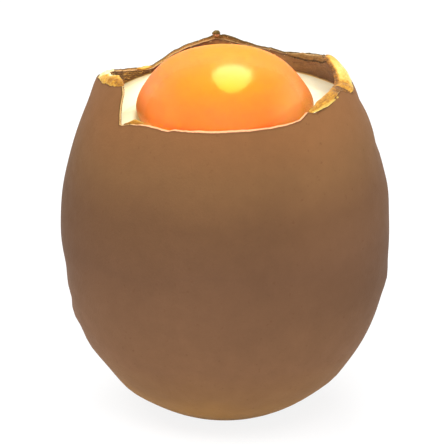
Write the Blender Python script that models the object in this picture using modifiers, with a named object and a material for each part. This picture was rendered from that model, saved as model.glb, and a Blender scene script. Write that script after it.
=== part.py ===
"""A brown hen's egg with its narrow end knocked off, standing on its blunt end, full of white and yolk.

Blender 4.5, metres, +Z up, standing on Z = 0. The yolk's middle is on the Z axis and the low side of the
break faces -Y. Angles run round the egg in degrees from +X, by way of +Y at the back.
"""

import math

import bpy
from mathutils import Matrix

MM = 0.001
NAME = "cracked_egg"

# The whole egg before it broke, in millimetres.
EGG_LENGTH = 59.9
EGG_BREADTH = 44.0
EGG_OFFSET = 3.77  # how far the widest place lies toward the blunt end
FLAT = 0.6  # how much of the blunt end is worn off, so that it stands
SHELL = 0.42  # shell and its skin together
GAP = 0.3  # between pieces that touch

# The white fills the shell up to LEVEL and creeps a little up the wall.
LEVEL = 41.45
CREEP = 0.4
SAG = 1.0  # how much lower it stands at SAG_ANGLE
SAG_ANGLE = 152.0
SAG_SPREAD = 22.0

# The yolk stands out of the white as a dome.
YOLK_RADIUS = 11.78
YOLK_HALF_HEIGHT = 7.05
YOLK_MIDDLE = 43.9
YOLK_LEAN = 0.075  # how much the dome's shoulders fall in
YOLK_LEAN_LEFT = 0.03  # and how much more they do so on the -X side

# Corners of the broken edge: angle, and height above the ground in millimetres.
BREAK_CORNERS = (
    (0, 45.9),
    (24, 46.2),
    (37, 46.4),
    (44, 45.8),
    (56, 44.9),
    (63, 44.6),
    (75, 45.0),
    (81, 45.5),
    (87, 46.5),
    (94, 46.85),
    (101, 46.0),
    (119, 43.6),
    (124, 42.8),
    (130, 42.7),
    (140, 43.7),
    (148, 44.6),
    (165, 45.8),
    (180, 47.0),
    (190, 47.7),
    (202, 48.2),
    (207, 48.7),
    (210.5, 47.9),
    (213, 46.6),
    (217, 44.6),
    (229, 45.5),
    (244, 45.6),
    (247, 45.8),
    (300, 46.2),
    (312, 47.0),
    (317, 46.6),
    (334, 47.2),
    (341, 47.5),
    (346, 46.8),
    (352, 46.1),
)

TIP_ANGLE = 94.0  # the high tip at the back, where a crumb clings
CRUMB_RADIUS = 0.42

# Small dents (+) and swellings (-) of the shell: angle, height, spread in degrees, spread in mm, depth in mm.
DENTS = (
    (184, 19.0, 16, 3.6, 0.30),
    (186, 16.4, 9, 1.2, 0.18),
    (188, 14.6, 8, 1.0, -0.26),
    (193, 10.6, 11, 1.3, -0.15),
    (198, 7.7, 13, 1.5, 0.12),
    (208, 4.5, 15, 1.5, -0.32),
    (168, 46.2, 14, 2.2, -0.45),
    (9, 43.0, 11, 1.3, 0.24),
    (7, 37.2, 12, 1.3, 0.18),
    (0, 28.5, 14, 3.0, -0.12),
    (-4, 19.2, 11, 1.6, -0.26),
    (-22, 6.1, 13, 1.4, -0.22),
)

COLUMNS = 96
LEVEL_ROWS = 11  # rows of the shell up to EVEN_HEIGHT, which run level
BREAK_ROWS = 3  # rows above it, which rise and fall with the break
EVEN_HEIGHT = 39.5
WHITE_COLUMNS = 48
YOLK_SEGMENTS = 32
YOLK_RINGS = 14


def egg_radius(height):
    """Radius of the egg's outside at a height above the ground, as Hugelschaeffer's egg curve gives it."""
    along = height + FLAT - EGG_LENGTH / 2
    below = EGG_LENGTH**2 + 8 * EGG_OFFSET * along + 4 * EGG_OFFSET**2
    return EGG_BREADTH / 2 * math.sqrt(max(EGG_LENGTH**2 - 4 * along**2, 0) / below)


def inset_point(height, inset):
    """The point (radius, height) that lies inset inside the wall, square to it at that height."""
    step = 0.01
    slope = (egg_radius(height + step) - egg_radius(height - step)) / (2 * step)
    length = math.hypot(1, slope)
    return egg_radius(height) - inset / length, height + inset * slope / length


def inset_radius(height, inset):
    """Radius at a height of a surface that lies inset inside the wall."""
    low, high = -FLAT * 0.5, EGG_LENGTH * 0.9
    for _ in range(40):
        middle = (low + high) / 2
        if inset_point(middle, inset)[1] < height:
            low = middle
        else:
            high = middle
    return inset_point(low, inset)[0]


def wall_height(turn, top):
    """Height on the wall at a share of the way up, so that rows lie at even steps along the curve."""
    first = math.acos(1 - 2 * FLAT / EGG_LENGTH)
    last = math.acos(1 - 2 * (FLAT + top) / EGG_LENGTH)
    return EGG_LENGTH / 2 * (1 - math.cos(first + turn * (last - first))) - FLAT


def apart(angle, other):
    """Degrees from one angle to another, from -180 to 180."""
    return (angle - other + 180) % 360 - 180


def break_height(angle):
    """Height of the broken edge at an angle."""
    angle %= 360
    for n, (left, low) in enumerate(BREAK_CORNERS):
        right, high = BREAK_CORNERS[(n + 1) % len(BREAK_CORNERS)]
        wide = (right - left) % 360
        past = (angle - left) % 360
        if past <= wide:
            return low + (high - low) * past / wide
    return BREAK_CORNERS[0][1]


def dent(angle, height):
    """How far the wall is pushed in at an angle and height."""
    depth = 0
    for middle, level, spread, tall, deep in DENTS:
        across = apart(angle, middle) / spread
        up = (height - level) / tall
        depth += deep * math.exp(-(across**2) - up**2)
    return depth


def column_angle(n):
    """Angle of the shell's nth column: even steps, the nearest moved onto each corner of the break."""
    step = 360 / COLUMNS
    angle = n * step
    for corner, _ in BREAK_CORNERS:
        if abs(apart(corner, angle)) < step / 2:
            return corner
    return angle


def material(name, colour, roughness):
    """A Principled material with a name, colour and roughness."""
    made = bpy.data.materials.new(name)
    made.use_nodes = True
    shader = made.node_tree.nodes["Principled BSDF"]
    shader.inputs["Base Color"].default_value = (*colour, 1)
    shader.inputs["Roughness"].default_value = roughness
    shader.inputs["Metallic"].default_value = 0
    made.diffuse_color = (*colour, 1)
    return made


def finish(piece, collection, look):
    """Links a piece to its collection only, with smooth shading and its material."""
    for other in piece.users_collection:
        other.objects.unlink(piece)
    collection.objects.link(piece)
    piece.data.materials.clear()
    piece.data.materials.append(look)
    piece.data.shade_smooth()
    return piece


def turned(name, profile, columns):
    """A profile of (radius, height) in millimetres, top to bottom, turned round Z into a plain mesh."""
    mesh = bpy.data.meshes.new(name)
    points = [(radius * MM, 0, height * MM) for radius, height in profile]
    mesh.from_pydata(points, [(n, n + 1) for n in range(len(points) - 1)], [])
    source = bpy.data.objects.new(name + "_profile", mesh)
    bpy.context.scene.collection.objects.link(source)
    screw = source.modifiers.new("Turn", "SCREW")
    screw.axis = "Z"
    screw.steps = columns
    screw.render_steps = columns
    screw.use_merge_vertices = True
    screw.merge_threshold = 0.000001
    screw.use_normal_calculate = False
    graph = bpy.context.evaluated_depsgraph_get()
    made = bpy.data.objects.new(name, bpy.data.meshes.new_from_object(source.evaluated_get(graph)))
    bpy.data.objects.remove(source)
    bpy.context.scene.collection.objects.link(made)
    return made


def moved(piece, place):
    """Moves every point by a rule that takes and gives its angle in degrees, radius and height in mm."""
    for vertex in piece.data.vertices:
        x, y, z = (value / MM for value in vertex.co)
        angle, radius, height = place(math.degrees(math.atan2(y, x)) % 360, math.hypot(x, y), z)
        turn = math.radians(angle)
        vertex.co = (radius * math.cos(turn) * MM, radius * math.sin(turn) * MM, height * MM)


def build_shell(collection):
    """The shell: the egg's curve turned into a cup, its upper rows slid to the break, then thickened."""
    heights = [0]
    heights += [wall_height(n / LEVEL_ROWS, EVEN_HEIGHT) for n in range(1, LEVEL_ROWS + 1)]
    heights += [EVEN_HEIGHT + 2 * (n + 1) for n in range(BREAK_ROWS)]
    profile = [(egg_radius(height), height) for height in reversed(heights)]
    shell = turned("shell", [*profile, (0, 0)], COLUMNS)
    step = 360 / COLUMNS

    def to_break(angle, radius, height):
        if radius < 0.001:
            return 0, 0, 0
        angle = column_angle(round(angle / step))
        over = (height - EVEN_HEIGHT) / (2 * BREAK_ROWS)
        if over > 0.01:
            height = EVEN_HEIGHT + over * (break_height(angle) - EVEN_HEIGHT)
        return angle, egg_radius(height) - dent(angle, height), height

    moved(shell, to_break)
    wall = shell.modifiers.new("Wall", "SOLIDIFY")
    wall.thickness = SHELL * MM
    wall.offset = -1
    wall.use_even_offset = True
    wall.use_rim = True
    return finish(shell, collection, material("brown_shell", (0.27, 0.13, 0.06), 0.5))


def build_white(collection):
    """The white: it fills the shell, creeps up the wall and the yolk, and is hollowed out under the yolk."""
    inset = SHELL + GAP
    edge = LEVEL + CREEP
    wall = inset_radius(edge, inset)
    wide = YOLK_RADIUS + GAP
    deep = YOLK_HALF_HEIGHT + GAP
    steepest = math.asin((YOLK_MIDDLE - LEVEL - CREEP / 2) / deep)
    profile = []
    for n in range(7):
        down = math.pi / 2 + (steepest - math.pi / 2) * math.sin(math.pi / 12 * n)
        profile.append((wide * math.cos(down), YOLK_MIDDLE - deep * math.sin(down)))
    profile[0] = (0, profile[0][1])
    lip = profile[-1][0]
    profile.append((lip + 0.7, LEVEL))
    profile.append(((lip + wall) / 2, LEVEL - 0.03))
    profile.append((wall - 1.3, LEVEL + CREEP * 0.1))
    profile.append((wall - 0.45, LEVEL + CREEP * 0.4))
    profile.append((wall, edge))
    for n in range(1, 10):
        profile.append(inset_point(wall_height(1 - n / 10, edge), inset))
    profile.append((inset_radius(inset, inset), inset))
    profile.append((0, inset))
    white = turned("white", profile, WHITE_COLUMNS)

    def settle(angle, radius, height):
        near_top = min(max((height - LEVEL + 2.5) / 2, 0), 1)
        near_wall = min(max((radius - lip - 0.2) / 2, 0), 1)
        sag = SAG * math.exp(-((apart(angle, SAG_ANGLE) / SAG_SPREAD) ** 2))
        pushed = dent(angle, height) if radius > lip + 3 or height < 30 else 0
        pushed = max(pushed, -0.1) * min(radius / 12, 1)
        return angle, radius - pushed, height - sag * near_top * near_wall

    moved(white, settle)
    return finish(white, collection, material("raw_white", (0.93, 0.88, 0.62), 0.2))


def build_yolk(collection):
    """The yolk: a ball pressed into a low dome whose shoulders fall in a little."""
    size = YOLK_RADIUS * MM
    bpy.ops.mesh.primitive_uv_sphere_add(segments=YOLK_SEGMENTS, ring_count=YOLK_RINGS, radius=size)
    yolk = bpy.context.object
    yolk.name = "yolk"
    yolk.data.name = "yolk"

    def dome(angle, radius, height):
        up = height / YOLK_RADIUS
        lean = YOLK_LEAN - YOLK_LEAN_LEFT * math.cos(math.radians(angle))
        if up > 0:
            radius *= 1 - lean * math.sin(math.pi * min(up, 1)) ** 2
        return angle, radius, YOLK_MIDDLE + up * YOLK_HALF_HEIGHT

    moved(yolk, dome)
    return finish(yolk, collection, material("raw_yolk", (0.95, 0.33, 0.05), 0.25))


def seat(angle, thick):
    """Height of the middle of a strip of a thickness that rests on the break at an angle."""
    highest = max(break_height(angle + step) for step in (-2, -1, 0, 1, 2))
    return highest + GAP + thick / 2


def build_curl(collection, name, look, ends, outer, inner, thick):
    """A strip of torn skin that lies along the break between two angles, from radius outer to inner."""
    bpy.ops.mesh.primitive_uv_sphere_add(segments=12, ring_count=10, radius=1)
    curl = bpy.context.object
    curl.name = name
    curl.data.name = name
    start, end = ends
    for vertex in curl.data.vertices:
        across, down, along = vertex.co
        round_it = max(math.hypot(across, down), 0.001)
        blunt = min(round_it, 1) ** 0.6 / round_it
        angle = (start + end) / 2 + along * (end - start) / 2
        radius = (outer + inner) / 2 + across * blunt * (outer - inner) / 2
        height = seat(angle, thick) - down * blunt * thick / 2
        turn = math.radians(angle)
        vertex.co = (radius * math.cos(turn) * MM, radius * math.sin(turn) * MM, height * MM)
    return finish(curl, collection, look)


def build_crumb(collection, look):
    """The crumb of shell that clings to the tip at the back."""
    bpy.ops.mesh.primitive_ico_sphere_add(subdivisions=2, radius=CRUMB_RADIUS * MM)
    crumb = bpy.context.object
    crumb.name = "crumb_peak"
    crumb.data.name = "crumb_peak"
    crumb.data.transform(Matrix.Diagonal((1.0, 0.9, 0.72, 1)))
    turn = math.radians(TIP_ANGLE)
    tip = break_height(TIP_ANGLE)
    radius = egg_radius(tip + GAP) - SHELL / 2
    height = tip + GAP + CRUMB_RADIUS * 0.72
    crumb.location = (radius * math.cos(turn) * MM, radius * math.sin(turn) * MM, height * MM)
    return finish(crumb, collection, look)


def main():
    for thing in list(bpy.data.objects):
        bpy.data.objects.remove(thing)
    collection = bpy.data.collections.new(NAME)
    bpy.context.scene.collection.children.link(collection)
    build_shell(collection)
    build_white(collection)
    build_yolk(collection)
    skin = material("torn_skin", (0.78, 0.5, 0.16), 0.4)
    chip = material("shell_chip", (0.2, 0.1, 0.04), 0.6)
    build_curl(collection, "curl_left", skin, (166, 207), 16.6, 14.5, 0.55)
    build_curl(collection, "curl_right", skin, (-15, 34), 17.0, 15.0, 0.6)
    build_curl(collection, "curl_front", skin, (315, 344), 16.7, 15.1, 0.45)
    build_curl(collection, "curl_corner", skin, (219, 229), 17.4, 15.8, 0.35)
    build_crumb(collection, chip)


main()
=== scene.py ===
# %% [markdown]
# # A cracked brown egg, still full
#
# A hen's egg stands on its blunt end. Its narrow end has been knocked off, and the shell still holds its
# white and its yolk. A plain CAD model gives the sizes. This lesson makes a finer piece to stand for each
# CAD solid: the shell with its ragged edge, the white, the yolk, the strips of torn skin and the crumbs.
#
# Everything is in metres, and the egg's long axis is the Z axis. The low side of the break faces -Y.

# %% Load the CAD model
import math

import bpy
import numpy as np
from mathutils import Matrix, Vector


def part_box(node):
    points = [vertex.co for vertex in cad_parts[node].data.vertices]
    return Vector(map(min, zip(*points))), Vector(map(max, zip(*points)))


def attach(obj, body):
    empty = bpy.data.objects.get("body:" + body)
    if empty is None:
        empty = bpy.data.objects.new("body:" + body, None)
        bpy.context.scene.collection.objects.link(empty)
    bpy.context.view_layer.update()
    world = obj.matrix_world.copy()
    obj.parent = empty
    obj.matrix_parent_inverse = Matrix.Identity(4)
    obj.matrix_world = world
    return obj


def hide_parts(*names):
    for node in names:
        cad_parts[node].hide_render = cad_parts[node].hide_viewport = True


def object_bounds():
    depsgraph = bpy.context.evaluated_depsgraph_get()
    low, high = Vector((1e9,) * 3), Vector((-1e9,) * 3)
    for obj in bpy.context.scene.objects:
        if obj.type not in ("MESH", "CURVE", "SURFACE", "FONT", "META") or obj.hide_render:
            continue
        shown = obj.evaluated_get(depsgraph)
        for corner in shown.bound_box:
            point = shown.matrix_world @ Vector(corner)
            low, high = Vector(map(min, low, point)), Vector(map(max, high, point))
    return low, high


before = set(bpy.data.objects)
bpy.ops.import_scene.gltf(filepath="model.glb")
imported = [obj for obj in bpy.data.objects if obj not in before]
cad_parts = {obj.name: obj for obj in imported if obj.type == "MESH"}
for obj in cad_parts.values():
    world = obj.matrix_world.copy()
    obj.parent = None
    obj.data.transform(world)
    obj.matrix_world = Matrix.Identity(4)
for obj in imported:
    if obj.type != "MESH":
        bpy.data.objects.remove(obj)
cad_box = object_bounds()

MM = 0.001  # one millimetre, in metres
TOUCHING = 0.001 * MM  # points this close are one point

for node in sorted(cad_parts):
    low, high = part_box(node)
    print(f"{node:12} stands from {low.z / MM:5.2f} to {high.z / MM:5.2f} mm")


# %% [markdown]
# ## A short way to write node trees
#
# Both Geometry Nodes and materials are trees of nodes. Blender can build them by hand in its editor, or
# in code. In code each node takes several lines, which hides the idea. Three small helpers fix that:
# `add` makes a node and fills its inputs, `out_of` gives what comes out of one, and a `Flow` is a value
# that travels between nodes, so that `a * b + c` in the code makes the two Math nodes that work it out.


# %% A node, and a value that flows between nodes
def add(tree, kind, inputs=(), **settings):
    """A new node with its settings. Inputs go by number or name: a Flow is linked, anything else is set."""
    node = tree.nodes.new(kind)
    for name, value in settings.items():
        setattr(node, name, value)
    pairs = inputs.items() if isinstance(inputs, dict) else enumerate(inputs)
    for key, value in pairs:
        if isinstance(value, Flow):
            tree.links.new(value.socket, node.inputs[key])
        elif value is not None:
            node.inputs[key].default_value = value
    return node


class Flow:
    """A number, vector, colour or mesh on its way from one node to the next."""

    def __init__(self, tree, socket):
        self.tree, self.socket = tree, socket

    def math(self, operation, *others, clamp=False):
        return out_of(self.tree, "ShaderNodeMath", (self, *others), operation=operation, use_clamp=clamp)

    def vector(self, operation, *others):
        first_place = 3 if operation == "SCALE" else 1
        inputs = {0: self, **dict(enumerate(others, first_place))}
        output = 1 if operation in ("LENGTH", "DOT_PRODUCT") else 0  # these two give a number
        return out_of(self.tree, "ShaderNodeVectorMath", inputs, output, operation=operation)

    def parts(self):
        node = add(self.tree, "ShaderNodeSeparateXYZ", (self,))
        return [Flow(self.tree, output) for output in node.outputs]

    def clamped(self):
        return self.math("ADD", 0.0, clamp=True)

    def __add__(self, other):
        return self.math("ADD", other)

    def __sub__(self, other):
        return self.math("SUBTRACT", other)

    def __mul__(self, other):
        return self.math("MULTIPLY", other)

    def __truediv__(self, other):
        return self.math("DIVIDE", other)

    def __pow__(self, other):
        return self.math("POWER", other)

    def from_number(self, number):
        """number - self."""
        return (self * -1.0) + number


# %% Steps that come up again and again
def out_of(tree, kind, inputs=(), output=0, **settings):
    """What flows out of a new node."""
    return Flow(tree, add(tree, kind, inputs, **settings).outputs[output])


def joined(x, y, z):
    """A vector from three parts. At least one of them is a flow."""
    tree = next(part.tree for part in (x, y, z) if isinstance(part, Flow))
    return out_of(tree, "ShaderNodeCombineXYZ", (x, y, z))


def fade(flow, start, end):
    """0 before the start, 1 past the end, and soft between them. The end may be the lower of the two."""
    part = ((flow - start) / (end - start)).clamped()
    return part * part * (part * -2.0 + 3.0)


def noise(place, scale=1.0, detail=2.0, roughness=0.5, distortion=0.0, output=0):
    """A soft random value from 0 to 1 at each place."""
    inputs = {"Vector": place, "Scale": scale, "Detail": detail}
    inputs.update(Roughness=roughness, Distortion=distortion)
    return out_of(place.tree, "ShaderNodeTexNoise", inputs, output)


# %% [markdown]
# ## Geometry Nodes in three steps
#
# A tree gets **named inputs**, so that its sizes can be read and changed in the modifier. It is run on a
# small mesh that holds the data it needs. Its result is then **frozen** into a plain mesh, because the
# finished piece shouldn't depend on a live modifier.


# %% A tree with named inputs
def new_tree(name, **inputs):
    """A Geometry Nodes tree that takes a mesh and the named inputs of each kind. It gives flows by name."""
    tree = bpy.data.node_groups.new(name, "GeometryNodeTree")
    tree.interface.new_socket("Geometry", in_out="INPUT", socket_type="NodeSocketGeometry")
    tree.interface.new_socket("Geometry", in_out="OUTPUT", socket_type="NodeSocketGeometry")
    for kind, labels in inputs.items():
        for label in labels:
            tree.interface.new_socket(label, in_out="INPUT", socket_type="NodeSocket" + kind)
    group = tree.nodes.new("NodeGroupInput")
    return tree, {output.name: Flow(tree, output) for output in group.outputs if output.name}


def end_tree(shape, *materials):
    """Realises instances, sets the materials as (material, which faces), and ends the tree."""
    shape = out_of(shape.tree, "GeometryNodeRealizeInstances", (shape,))
    for material, faces in materials:
        inputs = {"Geometry": shape, "Selection": faces, "Material": material}
        shape = out_of(shape.tree, "GeometryNodeSetMaterial", inputs)
    add(shape.tree, "NodeGroupOutput", (shape,))


# %% Steps that the trees share
def sheet(columns, rows):
    """A flat grid of points to be moved, with the column and the row that each point belongs to."""
    grid = out_of(rows.tree, "GeometryNodeMeshGrid", {"Vertices X": columns, "Vertices Y": rows})
    index = out_of(rows.tree, "GeometryNodeInputIndex")
    column = ((index + 0.5) / rows).math("FLOOR")
    return grid, column, index - column * rows


def own(tree, name):
    """A number stored at the points that the tree is given."""
    return out_of(tree, "GeometryNodeInputNamedAttribute", (name,), data_type="FLOAT")


def taken(source, value, index, kind="FLOAT"):
    """A value read from the point of a mesh that has this index."""
    inputs = {"Geometry": source, "Value": value, "Index": index}
    return out_of(source.tree, "GeometryNodeSampleIndex", inputs, data_type=kind)


def placed(shape, **where):
    """Moves points to a Position or by an Offset."""
    return out_of(shape.tree, "GeometryNodeSetPosition", {"Geometry": shape, **where})


def kept(shape, **fields):
    """Stores numbers at each point under their names."""
    for name, value in fields.items():
        inputs = {"Geometry": shape, "Name": name, "Value": value}
        shape = out_of(shape.tree, "GeometryNodeStoreNamedAttribute", inputs, data_type="FLOAT")
    return shape


def merged(shape):
    """Joins points that lie on each other, and shades the faces smooth."""
    inputs = {"Geometry": shape, "Distance": TOUCHING}
    shape = out_of(shape.tree, "GeometryNodeMergeByDistance", inputs)
    return out_of(shape.tree, "GeometryNodeSetShadeSmooth", (shape,))


# %% Run a tree, and freeze what it makes
def in_scene(name, data):
    """A new object in the scene that holds this data."""
    made = bpy.data.objects.new(name, data)
    bpy.context.scene.collection.objects.link(made)
    return made


def frozen(piece):
    """Keeps what a piece's modifier makes as its plain mesh, and takes the modifier off."""
    graph = bpy.context.evaluated_depsgraph_get()
    mesh = bpy.data.meshes.new_from_object(piece.evaluated_get(graph), depsgraph=graph)
    piece.modifiers.clear()
    piece.data = mesh
    mesh.name = piece.name
    print(f"{piece.name}: {len(mesh.vertices)} points, {len(mesh.polygons)} faces")
    return piece


def grown(name, source, tree, **values):
    """Runs a tree on a mesh. An underscore in a value's name stands for a space in the input's name."""
    piece = in_scene(name, source)
    modifier = piece.modifiers.new(tree.name, "NODES")
    modifier.node_group = tree
    for item in tree.interface.items_tree:
        label = item.name.replace(" ", "_")
        if item.in_out == "INPUT" and label in values:
            modifier[item.identifier] = values[label]
    return frozen(piece)


# %% The points of a finished piece
def points_of(piece):
    """Every point of a piece as rows of x, y, z."""
    found = np.empty(len(piece.data.vertices) * 3, np.float32)
    piece.data.vertices.foreach_get("co", found)
    return found.reshape(-1, 3).astype(float)


def put_points(piece, points):
    """Moves every point of a piece, kept inside the CAD model's box."""
    points = np.clip(points, np.array(cad_box[0]), np.array(cad_box[1]))
    piece.data.vertices.foreach_set("co", points.astype(np.float32).ravel())
    piece.data.update()


def field(piece, name, values):
    """Stores a number at each point, which a material can read by this name."""
    layer = piece.data.attributes.get(name) or piece.data.attributes.new(name, "FLOAT", "POINT")
    layer.data.foreach_set("value", np.asarray(values, np.float32))


# %% [markdown]
# ## The egg's curve
#
# A hen's egg isn't an ellipse: its widest place lies nearer the blunt end. A curve found by the engineer
# Hügelschäffer needs only three sizes for it: the length, the breadth, and how far the widest place is
# from the middle. The CAD model uses the same sizes, so the shell here fits it.

# %% Sizes of the whole egg
EGG_LENGTH = 59.9 * MM
EGG_BREADTH = 44.0 * MM
EGG_OFFSET = 3.77 * MM
FLAT = 0.6 * MM  # worn off the blunt end, so that it stands
WALL = 0.42 * MM  # shell and the skin inside it


def egg_radius(height):
    """Radius of the egg's outside at heights above the ground."""
    along = height + FLAT - EGG_LENGTH / 2
    below = EGG_LENGTH**2 + 8 * EGG_OFFSET * along + 4 * EGG_OFFSET**2
    return EGG_BREADTH / 2 * np.sqrt(np.maximum(EGG_LENGTH**2 - 4 * along**2, 0) / below)


print(f"The egg is {2 * egg_radius(np.linspace(0, 0.05, 500)).max() / MM:.1f} mm across at its widest")

# %% [markdown]
# ## Where the shell broke
#
# The broken edge is a closed line round the egg. Its corners are listed as an angle, counted from +X by
# way of the back, and a height. Between the corners an eggshell never breaks quite straight, so small
# random chips are laid on top. They come from a seeded generator, so that every run gives the same egg.

# %% The broken edge
BREAK_CORNERS = np.array((  # angle in degrees, height in mm
    (0, 45.9), (24, 46.2), (37, 46.55), (44, 45.95), (56, 45.15), (63, 44.9), (75, 45.3), (81, 45.8),
    (87, 46.65), (91, 47.1), (95, 46.95), (101, 46.3), (106, 45.7), (113, 44.85), (117.5, 43.75),
    (121.5, 42.95), (124, 42.8), (130, 43.1), (140, 43.87), (148, 44.7), (165, 45.8), (180, 46.9),
    (190, 47.6), (202, 48.2), (207, 48.7), (210.5, 47.9), (213, 46.6), (217, 44.6), (229, 45.5),
    (244, 45.6), (247, 45.8), (300, 46.2), (307, 46.35), (312, 47), (317, 46.6), (334, 47.2),
    (341, 47.5), (346, 46.8), (352, 46.1),
))
COLUMNS = 480


# %% Angles and chips
def apart(angle, other):
    """Degrees from one angle to another, from -180 to 180."""
    return (angle - other + 180) % 360 - 180


def near(angle, middle, spread):
    """1 at the middle angle, falling softly to 0 past the spread."""
    return np.exp(-((apart(angle, middle) / spread) ** 2))


def chipped(angle, steps, seed):
    """A jagged line round the egg from -1 to 1: random at even places, straight between them."""
    heights = np.random.default_rng(seed).uniform(-1, 1, steps)
    return np.interp(angle, np.arange(steps) * 360 / steps, heights, period=360)


def break_height(angle):
    """Height of the broken edge on the outside, in metres."""
    plain = np.interp(angle, *BREAK_CORNERS.T, period=360)
    rough = 1 - 0.75 * near(angle, 275, 45)  # the low front edge broke cleanly
    return (plain + rough * (0.1 * chipped(angle, 110, 3) + 0.06 * chipped(angle, 260, 4))) * MM


# %% A column on each corner
angles = np.arange(COLUMNS) * 360 / COLUMNS
for corner in BREAK_CORNERS[:, 0]:  # a column stands on each corner
    angles[np.abs(apart(angles, corner)).argmin()] = corner
heights = break_height(angles)
print(f"The edge runs from {heights.min() / MM:.1f} to {heights.max() / MM:.1f} mm above the ground")

# %% [markdown]
# The wall is thick enough to show its broken face. At the front the outer layer flaked off lower than the
# skin behind it, so the pale break faces outwards. `lean` is how much higher than square the inner side of
# the break stands. At the back it is the inner layer that broke off lower, which leaves a ledge: `step` is
# how far down. `stain` is 0 where the break is clean, 1 where it has dried, and 2 where it is dark all
# the way across.

# %% The ring that the wall will hang from
lean = (0.34 * near(angles, 270, 42) + 0.12 * near(angles, 225, 12) + 0.04 * chipped(angles, 140, 5)) * MM
step = (0.1 + 0.45 * near(angles, 88, 9) + 0.24 * near(angles, 115, 25)) * near(angles, 90, 85) * MM
stain = np.clip(1 + (apart(angles, 270) ** 2 - 47**2) / 500, 0, 1) + near(angles, 52, 32) ** 0.5


def ring_mesh(name, angle, radius, height, closed=True, **fields):
    """A line of points round the egg, with a number stored at each."""
    turn = np.radians(angle)
    points = np.stack([radius * np.cos(turn), radius * np.sin(turn), height + 0 * angle], 1)
    mesh = bpy.data.meshes.new(name)
    count = len(points)
    edges = [(n, (n + 1) % count) for n in range(count if closed else count - 1)]
    mesh.from_pydata(points.tolist(), edges, [])
    for label, values in fields.items():
        layer = mesh.attributes.new(label, "FLOAT", "POINT")
        layer.data.foreach_set("value", np.asarray(values, np.float32) + np.zeros(count, np.float32))
    return mesh


edge_radius = egg_radius(heights)
broken_edge = ring_mesh("broken_edge", angles, edge_radius, heights, lean=lean, step=step, stain=stain)
print(f"The ring has {len(broken_edge.vertices)} points")

# %% [markdown]
# ## Colours of the egg
#
# Every finish is built from nodes alone, so it stays sharp at any size. Each starts from the same few
# lines: a Principled shader, and Object coordinates turned to millimetres. That makes every scale below
# easy to read: a noise of scale 2 has about two bumps to the millimetre.


# %% The start of every finish
def linear(red, green, blue):
    """A colour as a screen shows it, from 0 to 255, as the light values that Blender works with."""
    parts = np.array((red, green, blue)) / 255
    return (*np.where(parts <= 0.04045, parts / 12.92, ((parts + 0.055) / 1.055) ** 2.4), 1.0)


def new_finish(name, **constants):
    """A material, its shader and the place on it in millimetres. Constants go on the shader's own sockets."""
    material = bpy.data.materials.new(name)
    material.use_nodes = True
    tree = material.node_tree
    shader = tree.nodes["Principled BSDF"]
    for label, value in constants.items():
        shader.inputs[label.replace("_", " ")].default_value = value
    place = out_of(tree, "ShaderNodeTexCoord", output="Object")
    return material, shader, place.vector("SCALE", 1 / MM)


def wire(shader, **flows):
    """Links flows to the shader's inputs."""
    for label, flow in flows.items():
        flow.tree.links.new(flow.socket, shader.inputs[label.replace("_", " ")])


# %% Colours, stored numbers and bumps
def ramp(value, *stops):
    """Turns a number into a colour, by stops of (number, red, green, blue)."""
    node = add(value.tree, "ShaderNodeValToRGB", (value,))
    band = node.color_ramp
    while len(band.elements) < len(stops):
        band.elements.new(0.5)
    for element, (at, *colour) in zip(band.elements, stops):
        element.position, element.color = at, linear(*colour)
    return Flow(value.tree, node.outputs[0])


def mixed(share, first, second):
    """Two colours mixed by a share. The second may be (red, green, blue)."""
    second = second if isinstance(second, Flow) else linear(*second)
    return out_of(share.tree, "ShaderNodeMix", {0: share, 6: first, 7: second}, 2, data_type="RGBA")


def stored(place, name):
    """A number stored at the piece's points."""
    return out_of(place.tree, "ShaderNodeAttribute", output="Fac", attribute_name=name)


def bumped(height, distance, strength=1.0):
    """A bump from a height, whose full step is a distance in millimetres."""
    inputs = {"Strength": strength, "Distance": distance * MM, "Height": height}
    return out_of(height.tree, "ShaderNodeBump", inputs)


# %% [markdown]
# ### The brown shell
#
# A brown egg gets its colour in the last hours before it is laid, as a thin layer on the outside. It is
# never even: broad bands, a soft mottle of a few millimetres, fine speckles, and thousands of pores that
# catch the light. The band's colour follows the height. It is partly painted: darker round the middle as
# painted shade, and lighter near the bottom as painted light. The rest is noise at three sizes. The
# surface is satin, a little rougher where the mottle is dark.


# %% Brown shell
def shell_finish():
    material, shader, place = new_finish("brown_shell", IOR=1.4, Specular_IOR_Level=0.06)
    height = place.parts()[2]
    broad = noise(place, scale=0.09)
    # Partly painted: the band is darker round the middle as shade, and lighter near the bottom as light.
    band = ramp(
        (height + (broad - 0.5) * 5.0) / 50.0, (0.06, 174, 128, 73), (0.14, 150, 110, 73),
        (0.24, 135, 98, 70), (0.38, 120, 87, 63), (0.52, 107, 77, 56), (0.66, 105, 75, 52),
        (0.78, 117, 84, 55), (0.9, 126, 87, 55),
    )
    mottle = noise(place, scale=0.45, detail=5, roughness=0.62)
    grain = noise(place, scale=4.5, detail=3, roughness=0.6)
    speckle = (noise(place, scale=1.7) - 0.66) * 9.0
    side = place.parts()[0]
    painted_side_light = fade(side, 4, 18) * fade(height, 20, 30) * 0.36  # painted light: one side is lighter above the middle
    painted_side_light = painted_side_light + fade(side, -10, -19) * 0.03  # and painted light, a touch, on the other side
    colour = band.vector("SCALE", (mottle - 0.5) * 0.22 + (grain - 0.5) * 0.1 + painted_side_light + 1.0)
    colour = mixed(speckle.clamped() * 0.28, colour, (96, 58, 34))
    by_break = fade(stored(place, "below") + (grain - 0.5) * 0.2, 0.3, 0)
    colour = mixed(by_break * 0.5, colour, (92, 58, 36))
    pores = noise(place, scale=2.6, detail=3, roughness=0.55)
    wire(
        shader, Base_Color=colour, Roughness=(mottle - 0.5) * -0.2 + 0.58,
        Normal=bumped(pores + grain * 0.4, 0.04),
    )
    return material


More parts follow.
